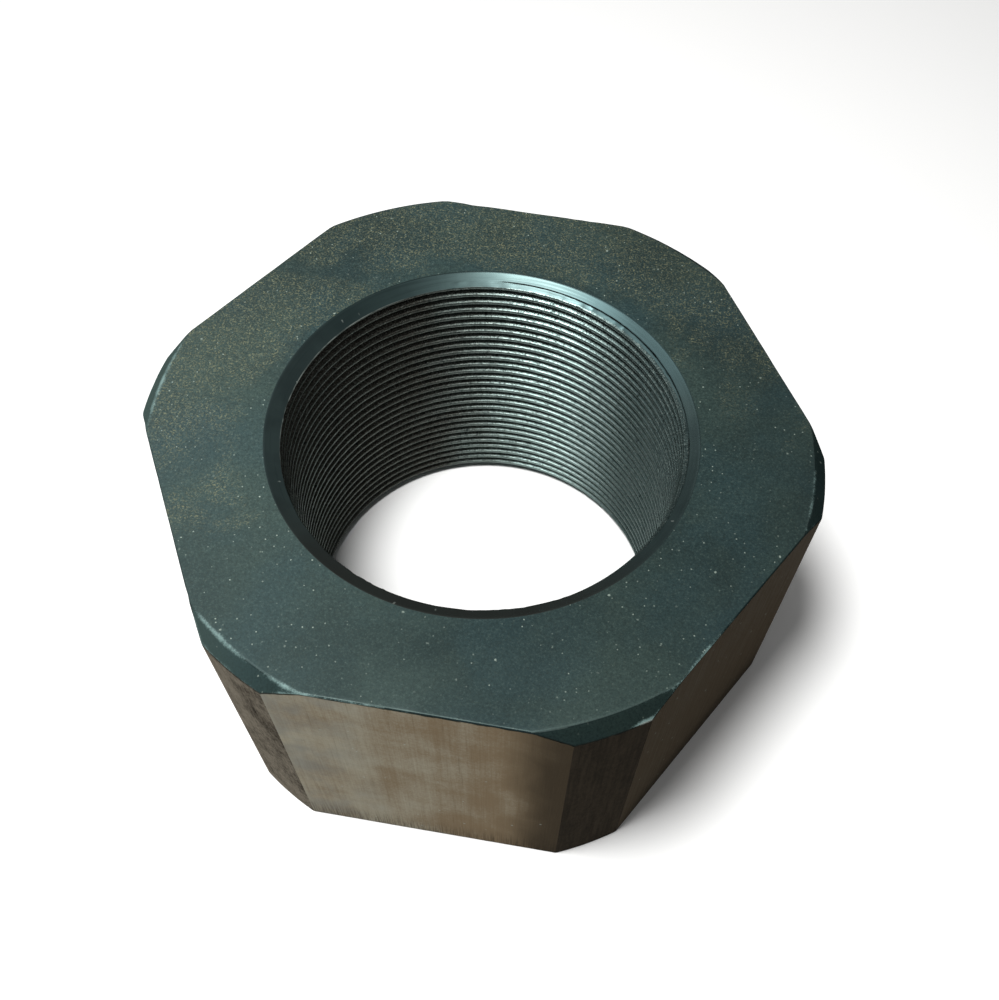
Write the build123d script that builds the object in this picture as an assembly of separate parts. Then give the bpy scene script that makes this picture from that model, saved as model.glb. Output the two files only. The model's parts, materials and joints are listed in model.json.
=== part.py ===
from build123d import *

import math
import os

# A large hexagon nut with a fine metric thread, M56 x 1.5, cut as one solid piece.
# Millimetres. The thread axis is Z, the bearing face lies on Z = 0 and the chamfered face is
# on top. Two of the six flats face -Y and +Y, so two corners point along -X and +X.

# Blank: the hexagon, and the round its corners are turned down to.
ACROSS_FLATS = 85.0
HEIGHT = 45.0
CORNER_DIAMETER = 93.0

# Top chamfer: a cone that trims the corners and leaves the middle of each flat square.
CHAMFER_FACE_DIAMETER = 89.3
CHAMFER_DEPTH = 1.7

# Thread: ISO metric basic profile, right-handed.
THREAD_DIAMETER = 56.0
THREAD_PITCH = 1.5
FLANK_ANGLE = 30.0

# Height of the first whole groove above the bearing face, at its middle, on the -X side.
THREAD_START = 1.23

# Countersinks, one at each end of the thread.
COUNTERSINK_DIAMETER = 58.4
COUNTERSINK_ANGLE = 120.0

# How far a cutter runs past the surface it cuts.
OVERCUT = 0.05

# Sizes that follow from the ones above.
THREAD_DEPTH = 5 / 8 * THREAD_PITCH * math.sqrt(3) / 2
MAJOR_RADIUS = THREAD_DIAMETER / 2
MINOR_RADIUS = MAJOR_RADIUS - THREAD_DEPTH
COUNTERSINK_RADIUS = COUNTERSINK_DIAMETER / 2
COUNTERSINK_SLOPE = math.tan(math.radians(COUNTERSINK_ANGLE / 2))
COUNTERSINK_DEPTH = (COUNTERSINK_RADIUS - MINOR_RADIUS) / COUNTERSINK_SLOPE


def revolved(points):
    """Turn a half section, given as (radius, height) points, about the Z axis."""
    outline = Polyline([(radius, 0, height) for radius, height in points], close=True)
    return revolve(make_face(outline), axis=Axis.Z)


def hexagon_bar():
    """A length of hexagon bar with flats on -Y and +Y."""
    outline = RegularPolygon(ACROSS_FLATS / 2, side_count=6, major_radius=False)
    return extrude(outline, HEIGHT)


def turned_envelope():
    """The lathe's outer shape: a cylinder that rounds the corners, with a cone at the top."""
    corner_radius = CORNER_DIAMETER / 2
    return revolved([
        (0, 0),
        (corner_radius, 0),
        (corner_radius, HEIGHT - CHAMFER_DEPTH),
        (CHAMFER_FACE_DIAMETER / 2, HEIGHT),
        (0, HEIGHT),
    ])


def countersunk_bore():
    """The hole before threading: the minor diameter, with a cone at each end."""
    mouth_radius = COUNTERSINK_RADIUS + OVERCUT * COUNTERSINK_SLOPE
    return revolved([
        (0, -OVERCUT),
        (mouth_radius, -OVERCUT),
        (MINOR_RADIUS, COUNTERSINK_DEPTH),
        (MINOR_RADIUS, HEIGHT - COUNTERSINK_DEPTH),
        (mouth_radius, HEIGHT + OVERCUT),
        (0, HEIGHT + OVERCUT),
    ])


def groove_section(height):
    """The space between two thread ridges on the -X side: a trapezoid, narrow at its root."""
    mouth_radius = MINOR_RADIUS - OVERCUT
    root_half_width = THREAD_PITCH / 16
    flank_width = (MAJOR_RADIUS - mouth_radius) * math.tan(math.radians(FLANK_ANGLE))
    mouth_half_width = root_half_width + flank_width
    points = [
        (-mouth_radius, 0, height - mouth_half_width),
        (-MAJOR_RADIUS, 0, height - root_half_width),
        (-MAJOR_RADIUS, 0, height + root_half_width),
        (-mouth_radius, 0, height + mouth_half_width),
    ]
    return make_face(Polyline(points, close=True))


def groove_turn(height):
    """One turn of the thread groove, rising anticlockwise from the -X side."""
    path = Pos(0, 0, height) * Rot(0, 0, 180) * Helix(THREAD_PITCH, THREAD_PITCH, MINOR_RADIUS)
    return sweep(groove_section(height), path=path, is_frenet=True)


def nut_body():
    """The whole nut: the turned blank, bored, then threaded turn by turn past both ends."""
    body = (hexagon_bar() & turned_envelope()) - countersunk_bore()
    height = THREAD_START - 2 * THREAD_PITCH
    while height < HEIGHT + THREAD_PITCH:
        body = body - groove_turn(height)
        height += THREAD_PITCH
    return body


os.makedirs("parts", exist_ok=True)
export_step(nut_body(), "parts/nut_body.step")
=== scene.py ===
import json
import math

import bmesh
import bpy
import numpy as np
from mathutils import Matrix, Vector, noise


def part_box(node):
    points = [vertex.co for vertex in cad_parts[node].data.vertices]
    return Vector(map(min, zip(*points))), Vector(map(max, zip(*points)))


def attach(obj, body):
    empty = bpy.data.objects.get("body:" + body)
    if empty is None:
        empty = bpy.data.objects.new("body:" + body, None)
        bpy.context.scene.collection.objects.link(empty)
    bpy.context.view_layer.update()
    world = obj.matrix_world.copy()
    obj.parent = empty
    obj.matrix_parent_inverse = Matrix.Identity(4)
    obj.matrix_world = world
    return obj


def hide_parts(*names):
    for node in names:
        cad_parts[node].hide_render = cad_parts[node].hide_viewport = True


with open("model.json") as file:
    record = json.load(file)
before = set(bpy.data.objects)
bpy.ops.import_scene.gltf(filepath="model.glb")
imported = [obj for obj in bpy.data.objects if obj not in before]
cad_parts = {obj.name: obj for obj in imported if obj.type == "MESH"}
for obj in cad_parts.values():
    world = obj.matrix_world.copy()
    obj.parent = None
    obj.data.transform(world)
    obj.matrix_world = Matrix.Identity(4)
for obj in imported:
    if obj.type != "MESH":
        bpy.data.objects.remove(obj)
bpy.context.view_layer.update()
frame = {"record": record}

# ---------------------------------------------------------------------------------------------
# Sizes, in millimetres. The overall ones come from the CAD frame, the rest repeat its design.
# ---------------------------------------------------------------------------------------------
MM = 0.001
NODE = "nut_body"
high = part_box(NODE)[1]
HEIGHT = high[2] / MM
HALF_FLATS = high[1] / MM
CORNER_RADIUS = high[0] / MM
CHAMFER_FACE_RADIUS = 44.65
CHAMFER_DEPTH = 1.7
CHAMFER_RUN = CORNER_RADIUS - CHAMFER_FACE_RADIUS
PITCH = 1.5
THREAD_START = 1.23
MAJOR_RADIUS = 28.0
MINOR_RADIUS = next(m for m in frame["record"]["mounts"] if m["name"] == "thread")["dims"]["r_mm"]
COUNTERSINK_RADIUS = 29.2
COUNTERSINK_SLOPE = math.tan(math.radians(60))
COUNTERSINK_DEPTH = (COUNTERSINK_RADIUS - MINOR_RADIUS) / COUNTERSINK_SLOPE

# Widths of one groove, from its middle to each edge.
ROOT_HALF = PITCH / 16
MOUTH_HALF = ROOT_HALF + (MAJOR_RADIUS - MINOR_RADIUS) * math.tan(math.radians(30))

# The mesh near each end of the bore follows level rings down to this depth, then the helix,
# which stays at least the gap away from the last ring.
END_ZONE = 1.32
END_GAP = 0.004

# The faces' meshes end this far outside the countersinks.
RIM_GAP = 0.12

# How uneven the thread is: in radius on its crests and elsewhere, and in height on its crests.
CREST_UNEVEN = 0.022
FLANK_UNEVEN = 0.01
CREST_WANDER = 0.03

# How rounded the worn outer edges are, and how far the wear beside them spreads.
EDGE_ROUNDING = 0.32
WEAR_REACH = 0.9

# Small dents on the edges. One in four is on the lower edge.
SEED = 11
DENTS = 60

# Places on the edges that took knocks: angle and its spread in degrees, height and its spread
# in mm, and how hard the knock was.
KNOCKS = [
    (-125, 12, 44.5, 3.0, 0.78),
    (-110, 6, 44.8, 1.0, 1.15),
    (-99, 8, 44.5, 3.0, 0.75),
    (180, 12, 44.5, 3.0, 0.95),
    (-55, 2.6, 43.2, 0.9, 1.7),
    (-43, 9, 44.5, 3.0, 0.75),
    (-4, 8, 44.8, 1.5, 0.9),
]


def value_noise(points, size, seed):
    """Smooth noise from about -1 to 1 at each point, for points in mm and a feature size in mm."""
    shift = Vector((seed * 17.3, seed * 5.1, seed * 9.7))
    return np.array([noise.noise(Vector(point) / size + shift) for point in points])


# ---------------------------------------------------------------------------------------------
# Columns: the angles round the nut at which its half section is drawn.
# ---------------------------------------------------------------------------------------------
def column_angles():
    """Angles from -180 to 180 degrees, in radians, crowded at the edges of the turned corners.

    They are worked out for half a flat, from its middle to the middle of a corner, and repeated.
    """
    chamfer_end = math.degrees(math.acos(HALF_FLATS / CHAMFER_FACE_RADIUS))
    corner_edge = math.degrees(math.acos(HALF_FLATS / CORNER_RADIUS))
    close = np.array([-0.6, -0.28, -0.09, 0.09, 0.28, 0.6])
    half = np.concatenate([
        np.linspace(0, chamfer_end, 12)[:-1],
        np.linspace(chamfer_end, corner_edge + close[0], 6)[:-1],
        corner_edge + close,
        np.linspace(corner_edge + close[-1], 30, 6)[1:],
    ])
    flat = np.concatenate([-half[::-1], half[1:]])
    angles = np.concatenate([flat[1:] + middle for middle in range(-150, 180, 60)])
    return np.radians(np.sort(angles))


THETA = column_angles()
COLUMNS = len(THETA)
TURN = (THETA + math.pi) / (2 * math.pi)


def around(radius, angle, height):
    """Points from their radius, angle and height."""
    return np.stack([radius * np.cos(angle), radius * np.sin(angle), height + 0 * angle], axis=-1)


# ---------------------------------------------------------------------------------------------
# The outside: flats, turned corners, chamfer and both faces, with softened and dented edges.
# ---------------------------------------------------------------------------------------------
def smooth_max(a, b, width):
    """The larger of two distances, blended where they are within a width of each other."""
    overlap = np.maximum(width - np.abs(a - b), 0) / width
    return np.maximum(a, b) + overlap ** 2 * width / 4


def nearest_flat(angle):
    """The angle from the middle of the nearest flat."""
    return angle % math.radians(60) - math.radians(30)


def blank_radius(angle):
    """Radius of the unworn blank below its chamfer, at a flat or at a turned corner."""
    return np.minimum(HALF_FLATS / np.cos(nearest_flat(angle)), CORNER_RADIUS)


def shoulder_height(reach):
    """Height at which a side that reaches this radius meets the chamfer or the top face."""
    return HEIGHT - np.maximum(reach - CHAMFER_FACE_RADIUS, 0) * CHAMFER_DEPTH / CHAMFER_RUN


def outside_distances(radius, angle, height):
    """Distance outside each surface of the blank: flat, corner, chamfer, top face, bearing face."""
    slant = math.hypot(CHAMFER_RUN, CHAMFER_DEPTH)
    chamfer = ((radius - CHAMFER_FACE_RADIUS) * CHAMFER_DEPTH + (height - HEIGHT) * CHAMFER_RUN) / slant
    return [
        radius * np.cos(nearest_flat(angle)) - HALF_FLATS,
        radius - CORNER_RADIUS,
        chamfer,
        height - HEIGHT,
        -height,
    ]


def edge_wear_pattern(radius, angle, height):
    """How much each point's edge is rounded off, in patches, from 0 to 1.3."""
    points = around(radius, angle, height).reshape(-1, 3)
    rough = 0.6 * value_noise(points, 9.0, 1) + 0.4 * value_noise(points, 2.6, 2)
    return np.clip(0.45 + 0.9 * rough, 0, 1.3).reshape(radius.shape)


def outside(radius, angle, height, rounding, marks):
    """How far outside the worn blank each point is, negative inside. The marks are its dents."""
    flat, corner, chamfer, top, bottom = outside_distances(radius, angle, height)
    turned = smooth_max(corner, chamfer, rounding * 0.7)
    side = smooth_max(flat, turned, rounding * 0.35)
    shape = smooth_max(side, smooth_max(top, bottom, 0.01), rounding)
    points = around(radius, angle, height)
    for centre, size, depth in marks:
        apart = ((points - centre) ** 2).sum(axis=-1)
        shape = shape + depth * np.exp(-apart / (2 * size ** 2)) * (apart < 12 * size ** 2)
    return shape


def exposure(angle, height):
    """How hard each part of the outside has been knocked: most at a few places on the upper edges."""
    most = np.zeros(np.shape(angle))
    for degrees, spread, level, fall, amount in KNOCKS:
        aside = (np.degrees(angle) - degrees + 180) % 360 - 180
        apart = (aside / spread) ** 2 + ((height - level) / fall) ** 2
        most = np.maximum(most, amount * np.exp(-apart))
    return (0.3 + 0.7 * most) * np.where(height > HEIGHT / 2, 1.0, 0.5)


def dents():
    """Small dents on the outer edges: centre in mm, size and depth."""
    picker = np.random.default_rng(SEED)
    found = []
    for index in range(DENTS):
        angle = picker.uniform(-math.pi, math.pi)
        reach = blank_radius(angle)
        level = 0.0 if index % 4 == 3 else shoulder_height(reach)
        size = picker.uniform(0.25, 0.5)
        centre = around(reach - 0.1, angle, level)
        depth = size * picker.uniform(0.10, 0.24) * exposure(angle, level)
        found.append((centre, size, depth))
    return found


def edge_nearness(radius, angle, height):
    """One on the sharp edges of the blank, falling to nothing where the wear beside them ends."""
    reach = blank_radius(angle)
    ends = [
        (np.minimum(reach, CHAMFER_FACE_RADIUS), HEIGHT),
        (reach, shoulder_height(reach)),
        (reach, 0.0),
    ]
    nearest = np.min([np.hypot(radius - across, height - level) for across, level in ends], axis=0)
    return np.clip(1 - nearest / WEAR_REACH, 0, 1)


def outside_rows():
    """Sharp-edged half section at every column, dense at its edges: radius and height arrays."""
    angle = THETA[:, None]
    reach = blank_radius(angle)
    shoulder = shoulder_height(reach)
    rim_radius = np.minimum(reach, CHAMFER_FACE_RADIUS)
    face = COUNTERSINK_RADIUS + RIM_GAP

    # Steps away from an edge: close to it, and further across the faces.
    near = np.array([0.05, 0.18, 0.36, 0.75])
    across = np.array([1.6, 3.2, 5.2, 7.6, 10.4])
    up_the_side = np.linspace(0, 1, 15)[1:-1]
    up_the_chamfer = (0.03, 0.12, 0.35, 0.65, 0.88, 0.97)

    bottom = [(face, 0)] + [(reach - step, 0) for step in across[::-1]]
    bottom_edge = [(reach - step, 0) for step in near[::-1]] + [(reach, step) for step in near]
    side = [(reach, near[-1] + (shoulder - 2 * near[-1]) * part) for part in up_the_side]
    shoulder_edge = [(reach, shoulder - step) for step in near[::-1]]
    chamfer = [
        (reach + (rim_radius - reach) * part, shoulder + (HEIGHT - shoulder) * part)
        for part in up_the_chamfer
    ]
    rim = [(rim_radius - step, HEIGHT) for step in near]
    top = [(rim_radius - step, HEIGHT) for step in across] + [(face, HEIGHT)]

    rows = bottom + bottom_edge + side + shoulder_edge + chamfer + rim + top
    radius = np.concatenate([angle * 0 + row[0] for row in rows], axis=1)
    height = np.concatenate([angle * 0 + row[1] for row in rows], axis=1)
    return radius, height


def worn_outside():
    """The half sections moved onto the worn surface: points, wear, and nearness to an edge.

    Each point moves along a line from the middle of its section, to where halving the stretch
    between an inner and an outer point finds the surface.
    """
    radius, height = outside_rows()
    angle = THETA[:, None] + 0 * radius
    pattern = edge_wear_pattern(radius, angle, height)
    near = edge_nearness(radius, angle, height)
    rounding = EDGE_ROUNDING * (0.55 + 0.5 * pattern)
    marks = dents()

    # The middle lies between the flats and the bore, halfway up.
    middle_radius = CORNER_RADIUS - 10.5
    middle_height = HEIGHT / 2
    inner = np.full(radius.shape, 0.85)
    outer = np.full(radius.shape, 1.05)
    for _ in range(22):
        part = (inner + outer) / 2
        gap = outside(
            middle_radius + (radius - middle_radius) * part, angle,
            middle_height + (height - middle_height) * part, rounding, marks)
        inner = np.where(gap < 0, part, inner)
        outer = np.where(gap < 0, outer, part)
    radius = middle_radius + (radius - middle_radius) * inner
    height = middle_height + (height - middle_height) * inner
    wear = near * (0.55 + 0.45 * pattern) * exposure(angle, height)
    return around(radius, angle, height), wear, near


# ---------------------------------------------------------------------------------------------
# The bore: two countersinks and the helical thread.
# ---------------------------------------------------------------------------------------------
def groove_middle(turn):
    """Height of the first groove at each column."""
    return THREAD_START + PITCH * turn


def bore_radius(turn, height, ragged=0.0):
    """Radius of the bore's wall: the thread, opened out by the countersink at each end."""
    offset = (height - groove_middle(turn) + PITCH / 2) % PITCH - PITCH / 2
    slope = (MAJOR_RADIUS - MINOR_RADIUS) / (MOUTH_HALF - ROOT_HALF)
    cut = np.clip((MOUTH_HALF + ragged - np.abs(offset)) * slope, 0, MAJOR_RADIUS - MINOR_RADIUS)
    to_end = np.minimum(height, HEIGHT - height)
    cone = COUNTERSINK_RADIUS - to_end * COUNTERSINK_SLOPE
    return np.maximum(MINOR_RADIUS + cut, cone)


def end_rings():
    """Distances from a face of the nut to its level rings, close together where the thread runs out."""
    return np.concatenate([[0.025, 0.12, 0.3, 0.45], np.arange(0.56, END_ZONE + 0.001, 0.055)])


def ring_points(height):
    """A level ring of the bore, with a point at every column, ragged where the thread runs out."""
    level = np.full(COLUMNS, height)
    rough = around(np.full(COLUMNS, MINOR_RADIUS), THETA, level)
    ragged = 0.10 * value_noise(rough, 1.3, 5) + 0.06 * value_noise(rough, 0.6, 6)
    return around(bore_radius(TURN, level, ragged), THETA, level)


def thread_rows():
    """Heights of the thread's edge lines above the first groove, top one first, and lines per turn."""
    bevel = 0.03
    tuck = 0.05
    upper_half = [ROOT_HALF, MOUTH_HALF - tuck, MOUTH_HALF + bevel]
    profile = [-step for step in upper_half[::-1]] + upper_half
    first = math.floor(-THREAD_START / PITCH) - 2
    last = math.ceil((HEIGHT - THREAD_START) / PITCH) + 1
    rows = [turn * PITCH + step for turn in range(first, last + 1) for step in profile]
    return np.array(rows[::-1]), len(profile)


def thread_points(turn, angle, height):
    """Points on the thread at these places, slightly uneven, most of all on its crests."""
    smooth = around(np.full(height.shape, MINOR_RADIUS), angle, height)
    rough = 0.5 * value_noise(smooth, 1.7, 7) + 0.5 * value_noise(smooth, 0.7, 8)
    radius = bore_radius(turn, height)
    at_crest = radius < MINOR_RADIUS + 0.12
    radius = radius + np.where(at_crest, CREST_UNEVEN, FLANK_UNEVEN) * rough
    return around(radius, angle, height + np.where(at_crest, CREST_WANDER * rough, 0))


def quads_down(grid, shift=0):
    """Quads between neighbouring rows and columns of a grid of point numbers, top row first.

    Past the last column, each row goes on in the first column, as many rows higher as the shift.
    """
    right = np.roll(grid, -1, axis=1)
    if shift:
        right[:, -1] = np.concatenate([np.full(shift, grid[0, 0]), grid[:-shift, 0]])
    return np.stack([grid[:-1], grid[1:], right[1:], right[:-1]], axis=-1).reshape(-1, 4)


def bore_surface(first):
    """The bore from the top face down: its points, its quads, and its first and last rings.

    The first point has this number. Lines of the helix that leave the stretch between the two
    end zones are drawn along the nearest level ring.
    """
    rings = end_rings()
    upper = [ring_points(HEIGHT - step) for step in rings]
    lower = [ring_points(step) for step in rings[::-1]]

    offsets, per_turn = thread_rows()
    height = groove_middle(TURN)[None, :] + offsets[:, None]
    inside = (height > END_ZONE + END_GAP) & (height < HEIGHT - END_ZONE - END_GAP)
    angle = np.broadcast_to(THETA, height.shape)
    turn = np.broadcast_to(TURN, height.shape)
    thread = thread_points(turn[inside], angle[inside], height[inside])

    ring_numbers = np.arange(len(rings) * COLUMNS).reshape(len(rings), COLUMNS)
    upper_rows = first + ring_numbers
    thread_first = first + ring_numbers.size
    lower_rows = thread_first + len(thread) + ring_numbers
    numbers = np.where(height >= HEIGHT - END_ZONE - END_GAP, upper_rows[-1], lower_rows[0])
    numbers[inside] = thread_first + np.arange(len(thread))

    points = np.concatenate(upper + [thread] + lower)
    faces = [quads_down(upper_rows), quads_down(numbers, per_turn), quads_down(lower_rows)]
    return points, faces, upper_rows[0], lower_rows[-1]


# ---------------------------------------------------------------------------------------------
# The piece
# ---------------------------------------------------------------------------------------------
# The kinds of surface, in the order of the mesh's materials.
FLATS, CORNERS, CHAMFERS, FACES, COUNTERSINKS, THREAD = range(6)

# The flat layouts, in mm. The outside is unrolled at one radius. For baking, all of it lies on a
# square page: both faces at the foot, and above them two strips, each with half of the outside
# and half of the bore.
SIDE_RADIUS = 44.7
PAGE = 238.0
PAGE_MARGIN = 4.0
FACE_CENTRE = 50.0
FACE_SPACING = 98.0
STRIP_FOOT = 100.0
STRIP_HEIGHT = 49.0
BORE_START = math.pi * SIDE_RADIUS + 6.0


def closed_grid(rows):
    """Quads over a number of level rows of points, joined round the nut."""
    grid = np.arange(rows * COLUMNS).reshape(rows, COLUMNS)
    right = np.roll(grid, -1, axis=1)
    return np.stack([grid[:-1], right[:-1], right[1:], grid[1:]], axis=-1).reshape(-1, 4)


def regions(points, faces):
    """Which kind of surface each face is, from where it lies and which way it points."""
    centre = points[faces].mean(axis=1)
    across = points[faces[:, 2]] - points[faces[:, 0]]
    along = points[faces[:, 3]] - points[faces[:, 1]]
    normal = np.cross(across, along)
    normal /= np.maximum(np.linalg.norm(normal, axis=1), 1e-12)[:, None]
    radius = np.hypot(centre[:, 0], centre[:, 1])
    angle = np.arctan2(centre[:, 1], centre[:, 0])
    corner_edge = math.acos(HALF_FLATS / CORNER_RADIUS)
    to_end = np.minimum(centre[:, 2], HEIGHT - centre[:, 2])

    # Flats and corners are upright, chamfers lean, and faces lie level.
    region = np.full(len(faces), FLATS)
    region[np.abs(nearest_flat(angle)) > corner_edge] = CORNERS
    region[np.abs(normal[:, 2]) > 0.4] = CHAMFERS
    region[np.abs(normal[:, 2]) > 0.93] = FACES

    # The countersinks face the ends of the bore. All of it is the thread otherwise.
    bore = radius < COUNTERSINK_RADIUS + 0.05
    region[bore] = THREAD
    facing_end = -normal[:, 2] * np.sign(centre[:, 2] - HEIGHT / 2)
    region[bore & (facing_end > 0.6) & (to_end < COUNTERSINK_DEPTH)] = COUNTERSINKS
    return region


def unrolled(points, faces, region):
    """Two flat layouts for each face's corners: one in mm for materials, and the baking page."""
    corner = points[faces]
    centre = corner.mean(axis=1)
    middle = np.arctan2(centre[:, 1], centre[:, 0])[:, None]
    angle = np.arctan2(corner[..., 1], corner[..., 0])
    angle = middle + (angle - middle + math.pi) % (2 * math.pi) - math.pi
    height = corner[..., 2]
    bore = (region >= COUNTERSINKS)[:, None]
    level = (region == FACES)[:, None]
    radius = np.where(bore, MINOR_RADIUS, SIDE_RADIUS)

    lay = np.stack([angle * radius, height], axis=-1)
    lay = np.where(level[..., None], corner[..., :2], lay)

    second = middle > 0
    start = np.where(second, 0.0, -math.pi)
    lower = centre[:, 2][:, None] <= HEIGHT / 2
    page_u = PAGE_MARGIN + (angle - start) * radius + np.where(bore, BORE_START, 0.0)
    page_v = STRIP_FOOT + height + STRIP_HEIGHT * second
    page_u = np.where(level, corner[..., 0] + FACE_CENTRE + FACE_SPACING * lower, page_u)
    page_v = np.where(level, corner[..., 1] + FACE_CENTRE, page_v)
    return lay, np.stack([page_u, page_v], axis=-1) / PAGE


def countersink_lips(bore):
    """One on the inner edge of each countersink, where it meets a crest, and nothing elsewhere."""
    depth = np.minimum(bore[:, 2], HEIGHT - bore[:, 2])
    at_crest = np.hypot(bore[:, 0], bore[:, 1]) < MINOR_RADIUS + 0.1
    return np.clip(1.3 - np.abs(depth - COUNTERSINK_DEPTH) / 0.08, 0, 1) * at_crest


def nut_mesh():
    """The whole nut as one mesh, in metres, with its layouts, regions and wear."""
    shell, wear, near = worn_outside()
    shell = shell.transpose(1, 0, 2)
    rows = len(shell)
    shell = shell.reshape(-1, 3)
    bore, bore_faces, top_ring, bottom_ring = bore_surface(len(shell))
    lips = countersink_lips(bore)

    first_row = np.arange(COLUMNS)
    last_row = first_row + (rows - 1) * COLUMNS
    top_face = quads_down(np.stack([last_row, top_ring]))
    bottom_face = quads_down(np.stack([bottom_ring, first_row]))
    points = np.concatenate([shell, bore])
    faces = np.concatenate([closed_grid(rows), top_face] + bore_faces + [bottom_face])
    region = regions(points, faces)
    lay, page = unrolled(points, faces, region)

    mesh = bpy.data.meshes.new("nut")
    mesh.from_pydata((points * MM).tolist(), [], faces.tolist())
    mesh.polygons.foreach_set("material_index", region.astype(np.int32))
    for name, layout in (("Unrolled", lay * MM), ("OFBake", page)):
        layer = mesh.uv_layers.new(name=name)
        layer.data.foreach_set("uv", layout.reshape(-1))
    # The wear layer also holds the inner edges of the countersinks, which carry a painted highlight.
    for name, values in (("wear", wear), ("edge", near)):
        layer = mesh.attributes.new(name, "FLOAT", "POINT")
        layer.data.foreach_set("value", np.concatenate([values.T.reshape(-1), lips]))
    return mesh


def closed_up(mesh):
    """The mesh with the points merged that coincide where rows meet, shaded smoothly.

    The normal at each point leans towards its larger faces, so that the flat surfaces beside a
    narrow rounded edge still look flat.
    """
    build = bmesh.new()
    build.from_mesh(mesh)
    bmesh.ops.remove_doubles(build, verts=build.verts, dist=1e-6)
    bmesh.ops.dissolve_degenerate(build, edges=build.edges, dist=1e-7)
    bmesh.ops.recalc_face_normals(build, faces=build.faces)
    build.to_mesh(mesh)
    build.free()
    mesh.polygons.foreach_set("use_smooth", np.ones(len(mesh.polygons), dtype=bool))

    corners = np.zeros(len(mesh.loops), dtype=np.int32)
    mesh.loops.foreach_get("vertex_index", corners)
    sizes = np.zeros(len(mesh.polygons), dtype=np.int32)
    mesh.polygons.foreach_get("loop_total", sizes)
    areas = np.zeros(len(mesh.polygons))
    mesh.polygons.foreach_get("area", areas)
    facing = np.zeros(len(mesh.polygons) * 3)
    mesh.polygons.foreach_get("normal", facing)
    weighted = np.repeat(facing.reshape(-1, 3) * areas[:, None], sizes, axis=0)
    normals = np.stack(
        [np.bincount(corners, weighted[:, axis], len(mesh.vertices)) for axis in range(3)], axis=-1)
    normals /= np.maximum(np.linalg.norm(normals, axis=1), 1e-20)[:, None]
    mesh.normals_split_custom_set_from_vertices(normals.tolist())
    return mesh


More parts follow.
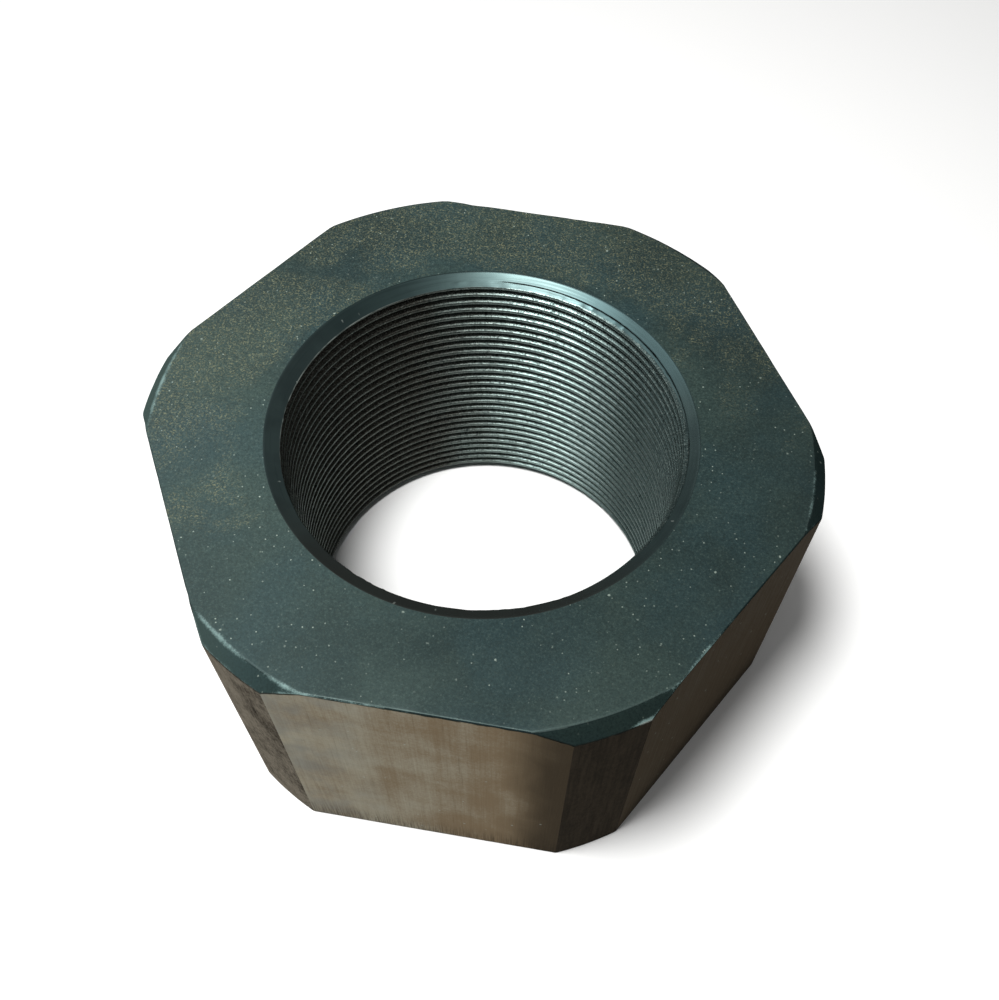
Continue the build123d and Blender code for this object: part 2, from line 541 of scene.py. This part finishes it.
# ---------------------------------------------------------------------------------------------
# Materials
# ---------------------------------------------------------------------------------------------
class Finish:
    """A material built from nodes. Sizes are in mm, and most values run from 0 to 1.

    A pattern follows the object's own coordinates, or the flat layout, which is its sheet.
    """

    # The colour sockets of a mix node, which share their names with its sockets of other kinds.
    COLOR_A = 6
    COLOR_B = 7
    COLOR_RESULT = 2

    def __init__(self, name):
        self.material = bpy.data.materials.new(name)
        self.material.use_nodes = True
        self.nodes = self.material.node_tree.nodes
        self.shader = self.nodes["Principled BSDF"]
        self.solid = self.node("ShaderNodeTexCoord").outputs["Object"]
        self.sheet = self.node("ShaderNodeUVMap", uv_map="Unrolled").outputs["UV"]
        self.wear = self.node("ShaderNodeAttribute", attribute_name="wear").outputs["Fac"]
        self.edge = self.node("ShaderNodeAttribute", attribute_name="edge").outputs["Fac"]

    def node(self, kind, **settings):
        """A new node with these settings."""
        made = self.nodes.new(kind)
        for name, value in settings.items():
            setattr(made, name, value)
        return made

    def feed(self, socket, value):
        """Link a socket to another, or give it a fixed value."""
        if isinstance(value, bpy.types.NodeSocket):
            self.material.node_tree.links.new(value, socket)
        elif isinstance(value, tuple) and len(value) == 3 and len(socket.default_value) == 4:
            socket.default_value = (*value, 1)
        else:
            socket.default_value = value

    def sized(self, where, size, shift=0.0):
        """Coordinates in which a feature of this size, in mm along each axis, is one unit."""
        size = size if isinstance(size, tuple) else (size, size, size)
        node = self.node("ShaderNodeMapping")
        self.feed(node.inputs["Vector"], where)
        node.inputs["Scale"].default_value = [1 / (side * MM) for side in size]
        node.inputs["Location"].default_value = (shift, shift * 0.7, shift * 1.3)
        return node.outputs["Vector"]

    def noise(self, size, detail=3.0, roughness=0.55, warp=0.0, where=None, shift=0.0):
        """Cloudy noise with features of this size; another shift gives another pattern."""
        node = self.node("ShaderNodeTexNoise")
        self.feed(node.inputs["Vector"], self.sized(where or self.solid, size, shift))
        node.inputs["Scale"].default_value = 1.0
        node.inputs["Detail"].default_value = detail
        node.inputs["Roughness"].default_value = roughness
        node.inputs["Distortion"].default_value = warp
        return node.outputs["Fac"]

    def specks(self, spacing, size, share, shift=0.0):
        """Small round marks: their spacing and size in mm, and the share of the places that have one."""
        node = self.node("ShaderNodeTexVoronoi", voronoi_dimensions="2D")
        self.feed(node.inputs["Vector"], self.sized(self.sheet, spacing, shift))
        node.inputs["Scale"].default_value = 1.0
        part = size / spacing
        ragged = self.times(self.plus(self.noise(0.22, 2, 0.7, shift=shift), -0.5), part * 2.0)
        near = self.ramp(self.plus(node.outputs["Distance"], ragged), part, part * 0.4)
        split = self.node("ShaderNodeSeparateColor")
        self.feed(split.inputs["Color"], node.outputs["Color"])
        chosen = self.ramp(split.outputs["Red"], 1 - share, 1 - share * 0.3)
        return self.times(near, chosen)

    def ramp(self, value, start, end, low=0.0, high=1.0):
        """A smooth step from low to high as the value goes from start to end."""
        node = self.node("ShaderNodeMapRange", interpolation_type="SMOOTHSTEP")
        for name, item in (
            ("Value", value), ("From Min", start), ("From Max", end), ("To Min", low), ("To Max", high)
        ):
            self.feed(node.inputs[name], item)
        return node.outputs["Result"]

    def combine(self, operation, a, b):
        """The result of a math node, such as MAXIMUM."""
        node = self.node("ShaderNodeMath", operation=operation)
        self.feed(node.inputs[0], a)
        self.feed(node.inputs[1], b)
        return node.outputs[0]

    def times(self, a, b):
        return self.combine("MULTIPLY", a, b)

    def plus(self, a, b):
        return self.combine("ADD", a, b)

    def mix(self, share, a, b):
        """A colour between two others."""
        node = self.node("ShaderNodeMix", data_type="RGBA")
        self.feed(node.inputs[0], share)
        self.feed(node.inputs[self.COLOR_A], a)
        self.feed(node.inputs[self.COLOR_B], b)
        return node.outputs[self.COLOR_RESULT]

    def axis(self, index):
        """One of the object's own coordinates, in mm: 0 is to the right, 1 to the back, 2 up."""
        node = self.node("ShaderNodeSeparateXYZ")
        self.feed(node.inputs[0], self.solid)
        return self.times(node.outputs[index], 1 / MM)

    def bore_distance(self):
        """Distance from the thread's axis, in mm."""
        across, back = (self.combine("POWER", self.axis(index), 2.0) for index in (0, 1))
        return self.combine("SQRT", self.plus(across, back), 0.0)

    def bump(self, height, depth):
        """A normal with bumps this many mm deep where the height goes from 0 to 1."""
        node = self.node("ShaderNodeBump")
        node.inputs["Strength"].default_value = 1.0
        node.inputs["Distance"].default_value = depth * MM
        self.feed(node.inputs["Height"], height)
        return node.outputs["Normal"]

    def finish(self, color, roughness, metallic, normal, specular=0.5, tint=(1, 1, 1)):
        """Feed the surface's shader, and give the material back."""
        for name, value in (
            ("Base Color", color), ("Roughness", roughness), ("Metallic", metallic),
            ("Normal", normal), ("Specular IOR Level", specular), ("Specular Tint", tint),
        ):
            self.feed(self.shader.inputs[name], value)
        return self.material


# Black oxide on the turned surfaces.
OXIDE = (0.025, 0.043, 0.038)
OXIDE_DARK = (0.014, 0.026, 0.026)
OXIDE_BLUE = (0.017, 0.038, 0.043)
OXIDE_BLACK = (0.006, 0.010, 0.010)
OXIDE_PALE = (0.085, 0.122, 0.106)
# Paler oxide, used as painted light on the left.
OXIDE_PAINTED_LIGHT = (0.058, 0.088, 0.082)
OLIVE = (0.160, 0.162, 0.092)

# Bare and scuffed steel.
PALE_EDGE = (0.16, 0.24, 0.23)
PALE_SPECK = (0.30, 0.36, 0.31)
BARE_EDGE = (0.34, 0.38, 0.35)

# The milled flats, and the scale left on the turned corners. Their browns stand partly for a painted
# reflection of a dark brown floor.
MILLED_PALE = (0.300, 0.285, 0.225)
MILLED_BROWN = (0.185, 0.142, 0.092)
MILLED_COOL = (0.150, 0.158, 0.155)
CORNER_PALE = (0.205, 0.183, 0.146)
# Dark scale, also used for painted shade on the flats.
SCALE_AND_SHADE_DARK = (0.032, 0.027, 0.021)
SCALE_RUSTY = (0.040, 0.033, 0.025)
SCALE_BLACK = (0.023, 0.020, 0.016)
SCALE_BROWN = (0.05, 0.04, 0.03)

# The countersinks, with a painted reflection, painted shade and a painted highlight.
TURNED_DARK = (0.028, 0.042, 0.042)
TURNED_PALE = (0.038, 0.057, 0.056)
TURNED_BROWN_REFLECTION = (0.026, 0.022, 0.018)
TURNED_PAINTED_SHADE = (0.010, 0.020, 0.020)
TURNED_PAINTED_HIGHLIGHT = (0.048, 0.084, 0.088)

# The thread, with painted shade and painted light.
THREAD_DARK = (0.098, 0.138, 0.132)
THREAD_PALE = (0.136, 0.188, 0.181)
THREAD_BROWN = (0.034, 0.026, 0.019)
CREST_PAINTED_LIGHT = (0.30, 0.40, 0.38)
CREST_GLINT = (0.28, 0.32, 0.29)
GROOVE_PAINTED_SHADE = (0.007, 0.009, 0.009)

FLOOR_WHITE = (0.93, 0.93, 0.92)


def blued(name, painted_light_left, painted_shade_right, grainy, metallic, specular, tint):
    """Black oxide with a teal cast: cloudy, worn to olive grain in patches, with pale specks.

    Painted light makes it paler towards the left, and painted shade darker towards the right, by these
    shares; painted shade also darkens it at the front and at the back on the right.
    """
    look = Finish(name)
    clouds = look.noise(22, 3, 0.55, 0.6, shift=3)
    blue = look.ramp(look.noise(15, 3, 0.5, 0.4, shift=9), 0.42, 0.66)
    color = look.mix(look.ramp(clouds, 0.32, 0.68), OXIDE_DARK, OXIDE)
    color = look.mix(look.times(blue, 0.6), color, OXIDE_BLUE)

    # Olive grain, most of it towards the back and little of it beside the countersink.
    back = look.ramp(look.plus(look.axis(1), look.times(look.axis(0), -0.35)), -34, 26, -0.24, 0.13)
    smooth_ring = look.ramp(look.bore_distance(), 29.5, 34, -0.16, 0.0)
    place = look.plus(look.plus(look.noise(12, 4, 0.62, 0.8, shift=5), back), smooth_ring)
    patches = look.ramp(place, 0.40, 0.60, 0.08, 1.0)
    grain = look.ramp(look.noise(0.28, 2, 0.8, shift=1), 0.46, 0.64)
    clumps = look.ramp(look.noise(0.8, 3, 0.75, shift=2), 0.42, 0.62, 0.25, 1.0)
    olive = look.times(look.times(patches, grainy), look.times(grain, clumps))
    color = look.mix(look.times(olive, 0.92), color, OLIVE)

    # Fine dark and pale grain, and pale specks in loose clusters.
    fine = look.noise(0.30, 3, 0.8, shift=8)
    color = look.mix(look.ramp(fine, 0.47, 0.66, 0.0, 0.55), color, OXIDE_BLACK)
    color = look.mix(look.ramp(fine, 0.46, 0.32, 0.0, 0.35 * grainy), color, OXIDE_PALE)
    specks = look.plus(look.specks(1.3, 0.12, 0.36, shift=4), look.specks(4.1, 0.20, 0.26, shift=6))
    clusters = look.ramp(look.noise(9, 3, 0.6, shift=13), 0.42, 0.60, 0.2, 1.0)
    color = look.mix(look.times(look.times(specks, clusters), 0.9), color, PALE_SPECK)

    # Painted shade: darker to the right, at the front and at the back, away from the light; painted
    # light: paler towards the left.
    front_right = look.plus(look.times(look.axis(0), 0.6), look.times(look.axis(1), -0.8))
    color = look.mix(look.times(look.ramp(front_right, -6, 40), 0.40), color, OXIDE_BLACK)
    back_right = look.plus(look.times(look.axis(0), 0.8), look.times(look.axis(1), 0.6))
    color = look.mix(look.times(look.ramp(back_right, 24, 40), 0.30), color, OXIDE_BLACK)
    color = look.mix(look.ramp(look.axis(0), -15, 15, 0.0, painted_shade_right), color, OXIDE_BLACK)
    color = look.mix(look.ramp(look.axis(0), -8, -30, 0.0, painted_light_left), color, OXIDE_PAINTED_LIGHT)

    # Dark edges, chipped pale and then bare where they were knocked.
    flakes = look.times(look.noise(1.8, 4, 0.65, shift=7), 0.6)
    ragged = look.plus(flakes, look.times(look.noise(0.24, 3, 0.8, shift=9), 0.7))
    color = look.mix(look.ramp(look.edge, 0.75, 1.0, 0.0, 0.5), color, OXIDE_BLACK)
    chipped = look.ramp(look.plus(look.wear, ragged), 1.02, 1.50)
    color = look.mix(look.times(chipped, 0.9), color, PALE_EDGE)
    color = look.mix(look.ramp(look.plus(look.wear, ragged), 1.50, 1.85), color, BARE_EDGE)

    rough = look.plus(look.ramp(clouds, 0.3, 0.7, 0.31, 0.37), look.times(olive, 0.12))
    rough = look.plus(rough, look.ramp(look.edge, 0.55, 1.0, 0.0, 0.28))
    relief = look.plus(look.times(fine, 0.35), look.times(look.noise(0.8, 4, 0.65, shift=12), 0.65))
    return look.finish(color, rough, metallic, look.bump(relief, 0.016), specular, tint)


def edged(look, color, wander, share):
    """The colour darkened along the edges, and with bare steel where they are worn."""
    edging = look.ramp(look.plus(look.edge, wander), 0.98, 1.25)
    color = look.mix(look.times(edging, share), color, OXIDE_BLACK)
    worn = look.ramp(look.plus(look.wear, look.times(look.noise(0.5, 3, 0.7, shift=7), 0.7)), 1.1, 1.5)
    return look.mix(look.times(worn, 0.5), color, BARE_EDGE)


def milled():
    """Flats milled along the axis and partly blackened: fine upright streaks over soft clouds, with
    painted shade to the right and at the back.
    """
    look = Finish("milled_flats")
    streaks = look.noise((0.30, 16, 1), 4, 0.65, where=look.sheet, shift=1)
    hairs = look.noise((0.12, 5, 1), 2, 0.6, where=look.sheet, shift=2)
    bands = look.noise((5.5, 60, 1), 3, 0.5, 0.5, where=look.sheet, shift=3)
    clouds = look.noise((10, 14, 10), 3, 0.5, 0.6, shift=4)
    smears = look.noise((26, 1.6, 1), 3, 0.6, 0.5, where=look.sheet, shift=8)
    grain = look.noise(0.35, 2, 0.75, shift=10)

    # From pale steel at the front left to brown elsewhere. The darkening to the right and at the back is
    # painted shade, away from the light, and the brown is partly a painted reflection of a dark brown
    # floor.
    painted_shade_behind = look.ramp(look.axis(1), -38, -20, 0.0, 0.6)
    across = look.combine("MAXIMUM", look.ramp(look.axis(0), -30, 22), painted_shade_behind)
    # This share carries the painted shade as well as the clouds and milling marks.
    oxide = look.plus(look.times(across, 0.85), look.ramp(clouds, 0.3, 0.7, -0.08, 0.30))
    for pattern, start, end, low, high in (
        (bands, 0.3, 0.7, -0.10, 0.12),
        (streaks, 0.25, 0.75, -0.07, 0.07),
        (smears, 0.3, 0.7, -0.03, 0.05),
        (grain, 0.3, 0.7, -0.10, 0.12),
    ):
        oxide = look.plus(oxide, look.ramp(pattern, start, end, low, high))
    color = look.mix(look.ramp(oxide, 0.0, 1.0), MILLED_PALE, MILLED_BROWN)

    # Cool patches towards the left of the front flat, and fine dark lines all over.
    cool = look.ramp(look.noise(8, 3, 0.6, shift=6), 0.38, 0.66)
    cool = look.times(cool, look.ramp(look.axis(1), -30, -42))
    cool = look.times(cool, look.ramp(look.axis(0), -4, -14))
    color = look.mix(look.times(cool, 0.50), color, MILLED_COOL)
    color = look.mix(look.ramp(hairs, 0.5, 0.8, 0.0, 0.4), color, MILLED_BROWN)
    color = look.mix(look.ramp(streaks, 0.62, 0.8, 0.0, 0.4), color, SCALE_AND_SHADE_DARK)

    # Darker at the foot, and painted shade on the right, away from the light.
    foot = look.times(look.ramp(look.axis(2), 7, 0), look.ramp(hairs, 0.42, 0.62))
    color = look.mix(look.times(foot, 0.65), color, SCALE_AND_SHADE_DARK)
    uneven = look.plus(look.times(bands, 5.0), look.times(clouds, 4.0))
    right_painted_shade = look.ramp(look.plus(look.axis(0), uneven), 13.5, 22.5)
    color = look.mix(look.times(right_painted_shade, 0.84), color, SCALE_AND_SHADE_DARK)
    color = look.mix(look.times(look.specks(3.6, 0.2, 0.25, shift=4), 0.6), color, BARE_EDGE)
    wander = look.times(look.noise((2.2, 0.5, 1), 3, where=look.sheet, shift=7), 0.75)
    color = edged(look, color, wander, 0.9)

    rough = look.plus(look.ramp(streaks, 0.3, 0.7, 0.40, 0.52), look.times(across, 0.05))
    relief = look.plus(look.times(streaks, 0.7), look.times(hairs, 0.3))
    tint = (0.35, 0.35, 0.35)
    return look.finish(color, rough, 0.45, look.bump(relief, 0.012), specular=0.0, tint=tint)


def corners():
    """Turned corners that keep more of their dark scale, grainy where it has worn through, with painted
    shade to the right and at the back.
    """
    look = Finish("turned_corners")
    grain = look.noise((0.5, 0.5, 0.9), 4, 0.8, 0.3, shift=1)
    upright = look.noise((0.5, 9, 1), 3, 0.6, 0.3, where=look.sheet, shift=5)
    turning = look.noise((9, 0.25, 1), 2, 0.5, where=look.sheet, shift=2)
    clouds = look.noise(7, 4, 0.65, 0.6, shift=3)

    # Painted shade: the corners to the right and at the back are darker, away from the light. The scale
    # share below carries it.
    painted_shade_behind = look.ramp(look.axis(1), -36, -15, 0.0, 0.4)
    across = look.combine("MAXIMUM", look.ramp(look.axis(0), -32, 6), painted_shade_behind)
    scale = look.plus(look.plus(across, 0.12), look.ramp(clouds, 0.3, 0.7, -0.15, 0.25))
    scale = look.plus(scale, look.ramp(grain, 0.34, 0.66, -0.05, 0.26))
    scale = look.plus(scale, look.ramp(upright, 0.3, 0.7, -0.08, 0.08))
    mottle = look.plus(look.times(grain, 0.5), look.times(upright, 0.5))
    dark = look.mix(look.ramp(mottle, 0.35, 0.65), SCALE_RUSTY, SCALE_BLACK)
    color = look.mix(look.ramp(scale, 0.0, 1.0), CORNER_PALE, dark)
    color = look.mix(look.ramp(turning, 0.5, 0.8, 0.0, 0.2), color, SCALE_BROWN)
    wander = look.times(look.noise(0.9, 3, shift=7), 0.6)
    color = edged(look, color, wander, 0.8)

    rough = look.ramp(grain, 0.3, 0.7, 0.55, 0.68)
    relief = look.plus(look.times(grain, 0.8), look.times(turning, 0.2))
    return look.finish(color, rough, 0.2, look.bump(relief, 0.016), specular=0.0, tint=(0.2, 0.2, 0.2))


def painted_lip_highlight(look):
    """Where the inner edge of the countersink is painted bright as a painted highlight: mostly on its
    left.
    """
    left = look.ramp(look.axis(0), -14, -23, 0.12, 1.0)
    broken = look.ramp(look.noise(2.5, 3, 0.6, shift=14), 0.36, 0.56, 0.3, 1.0)
    return look.times(look.times(look.ramp(look.wear, 0.3, 0.9), left), broken)


def countersink():
    """Turned oxide with faint tool rings, with a painted teal highlight at the back right, painted shade
    at the back left and on the right, and a dark brown painted reflection in front.
    """
    look = Finish("countersinks")
    rings = look.noise((12, 0.14, 1), 2, 0.5, where=look.sheet, shift=1)
    clouds = look.noise(6, 3, 0.5, shift=2)
    color = look.mix(look.ramp(clouds, 0.35, 0.65), TURNED_DARK, TURNED_PALE)
    color = look.mix(look.ramp(rings, 0.5, 0.8, 0.0, 0.4), color, OXIDE_DARK)
    # Painted reflection: the near side, facing away from the light, is browner and darker.
    color = look.mix(look.ramp(look.axis(1), -12, -27, 0.0, 0.7), color, TURNED_BROWN_REFLECTION)
    # Painted shade on the right.
    color = look.mix(look.ramp(look.axis(0), 22, 28, 0.0, 0.3), color, OXIDE_DARK)
    # Painted shade at the back left and a painted highlight at the back right.
    back = look.ramp(look.axis(1), 8, 18)
    back_left = look.times(back, look.ramp(look.axis(0), 4, -13))
    back_right = look.times(back, look.ramp(look.axis(0), 4, 15))
    color = look.mix(look.times(back_left, 0.62), color, TURNED_PAINTED_SHADE)
    color = look.mix(look.times(back_right, 0.75), color, TURNED_PAINTED_HIGHLIGHT)
    color = look.mix(look.times(look.specks(2.4, 0.14, 0.20, shift=6), 0.5), color, BARE_EDGE)
    # Painted highlight on the inner edge.
    color = look.mix(look.times(painted_lip_highlight(look), 0.8), color, BARE_EDGE)
    rough = look.ramp(rings, 0.3, 0.7, 0.30, 0.37)
    return look.finish(color, rough, 0.68, look.bump(rings, 0.008), specular=0.5, tint=(0.72, 1.0, 0.98))


def thread():
    """Grey grainy crests with painted light near them and painted shade deep in the grooves, browner and
    darker towards the left and darker towards the right as painted shade.
    """
    look = Finish("thread")
    above_groove = look.ramp(look.bore_distance(), MINOR_RADIUS + 0.80, MINOR_RADIUS + 0.48)
    lines = look.noise((8, 0.10, 1), 3, 0.6, where=look.sheet, shift=1)
    grain = look.noise(0.22, 2, 0.85, shift=2)
    pits = look.ramp(look.noise(0.40, 3, 0.75, shift=12), 0.54, 0.66)
    clouds = look.noise(9, 3, 0.55, 0.5, shift=3)

    color = look.mix(look.ramp(clouds, 0.3, 0.7), THREAD_DARK, THREAD_PALE)
    # Painted light: brighter near the crests.
    crest_painted_light = look.ramp(look.bore_distance(), MINOR_RADIUS + 0.34, MINOR_RADIUS + 0.05)
    color = look.mix(look.times(crest_painted_light, 0.66), color, CREST_PAINTED_LIGHT)
    # Painted shade: browner and darker towards the left.
    shaded = look.ramp(look.plus(look.axis(0), look.times(clouds, 14.0)), 17, -10)
    color = look.mix(look.times(shaded, 0.93), color, THREAD_BROWN)
    # Painted shade: darker towards the right.
    color = look.mix(look.ramp(look.axis(0), 7, 21, 0.0, 0.80), color, OXIDE_DARK)
    color = look.mix(look.ramp(grain, 0.50, 0.66, 0.0, 0.60), color, OXIDE_BLACK)
    color = look.mix(look.ramp(grain, 0.48, 0.34, 0.0, 0.35), color, CREST_GLINT)
    color = look.mix(look.times(pits, 0.6), color, OXIDE_BLACK)
    color = look.mix(look.ramp(lines, 0.55, 0.8, 0.0, 0.3), color, OXIDE_DARK)
    color = look.mix(look.specks(1.7, 0.22, 0.10, shift=8), color, OXIDE_BLACK)
    # Painted shade deep in the grooves.
    color = look.mix(above_groove, GROOVE_PAINTED_SHADE, color)
    # Painted highlight on the inner edge.
    color = look.mix(look.times(painted_lip_highlight(look), 0.8), color, BARE_EDGE)

    rough = look.ramp(grain, 0.3, 0.7, 0.35, 0.48)
    relief = look.plus(look.times(grain, 0.5), look.plus(look.times(lines, 0.4), look.times(pits, -0.6)))
    return look.finish(color, rough, 0.85, look.bump(relief, 0.028), specular=0.4, tint=(0.85, 1.0, 0.97))


def floor_finish():
    """Plain matt white."""
    look = Finish("floor")
    return look.finish(FLOOR_WHITE, 0.9, 0.0, look.bump(look.noise(2.0), 0.002), specular=0.1)


# ---------------------------------------------------------------------------------------------
# Stage, lights and camera. Places are in mm, and so is the size of a light.
# ---------------------------------------------------------------------------------------------
CAMERA_PLACE = (17.97, -89.27, 157.86)
CAMERA_TARGET = (10.15, -16.15, 22.5)
CAMERA_ROLL = 3.857
LENS = 38.12
SENSOR_WIDTH = 36.0
LENS_SHIFT = (-0.0332, 0.1235)
LIGHT_TARGET = (0, 0, 20)
AMBIENT_STRENGTH = 0.19
FLOOR_HALF = 3000


def aimed(item, place, target, roll=0.0):
    """Add an object at a place, with its -Z axis towards another and a roll in degrees."""
    item.location = Vector(place) * MM
    item.rotation_mode = "QUATERNION"
    facing = (Vector(target) - Vector(place)).to_track_quat("-Z", "Y")
    item.rotation_quaternion = facing @ Matrix.Rotation(math.radians(roll), 3, "Z").to_quaternion()
    bpy.context.scene.collection.objects.link(item)
    return item


def make_camera():
    """The view of the nut from above its front."""
    data = bpy.data.cameras.new("camera")
    data.lens = LENS
    data.sensor_width = SENSOR_WIDTH
    data.shift_x, data.shift_y = LENS_SHIFT
    data.clip_start = 0.01
    data.clip_end = 20
    camera = bpy.data.objects.new("camera", data)
    bpy.context.scene.camera = aimed(camera, CAMERA_PLACE, CAMERA_TARGET, CAMERA_ROLL)


def make_light(name, place, size, power):
    """A round soft light aimed at the nut, with its power in watts."""
    data = bpy.data.lights.new(name, "AREA")
    data.shape = "DISK"
    data.size = size * MM
    data.energy = power
    aimed(bpy.data.objects.new(name, data), place, LIGHT_TARGET)


def make_floor():
    """A wide pale floor under the bearing face."""
    half = FLOOR_HALF * MM
    square = [(-half, -half, 0), (half, -half, 0), (half, half, 0), (-half, half, 0)]
    mesh = bpy.data.meshes.new("floor")
    mesh.from_pydata(square, [], [(0, 1, 2, 3)])
    floor = bpy.data.objects.new("floor", mesh)
    bpy.context.scene.collection.objects.link(floor)
    mesh.materials.append(floor_finish())


def make_world():
    """Even white light from all round."""
    world = bpy.data.worlds.new("studio")
    world.use_nodes = True
    background = world.node_tree.nodes["Background"]
    background.inputs["Color"].default_value = (1, 1, 1, 1)
    background.inputs["Strength"].default_value = AMBIENT_STRENGTH
    bpy.context.scene.world = world


def make_nut():
    """The nut, with its materials in the order of its kinds of surface."""
    mesh = closed_up(nut_mesh())
    for material in (
        milled(),
        corners(),
        blued("blued_chamfers", painted_light_left=0.5, painted_shade_right=0.35, grainy=0.3,
              metallic=0.10, specular=0.0, tint=(0.25, 0.30, 0.30)),
        blued("blued_faces", painted_light_left=0.0, painted_shade_right=0.0, grainy=1.0,
              metallic=0.0, specular=0.34, tint=(0.75, 1.0, 0.95)),
        countersink(),
        thread(),
    ):
        mesh.materials.append(material)
    nut = bpy.data.objects.new("nut", mesh)
    bpy.context.scene.collection.objects.link(nut)
    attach(nut, "root")
    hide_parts(NODE)


make_nut()
make_floor()
make_world()
make_light("key", (-76, -78, 430), size=120, power=2.35)
make_light("left", (-284, 199, 464), size=330, power=0.48)
make_camera()
bpy.context.scene.view_settings.view_transform = "Standard"
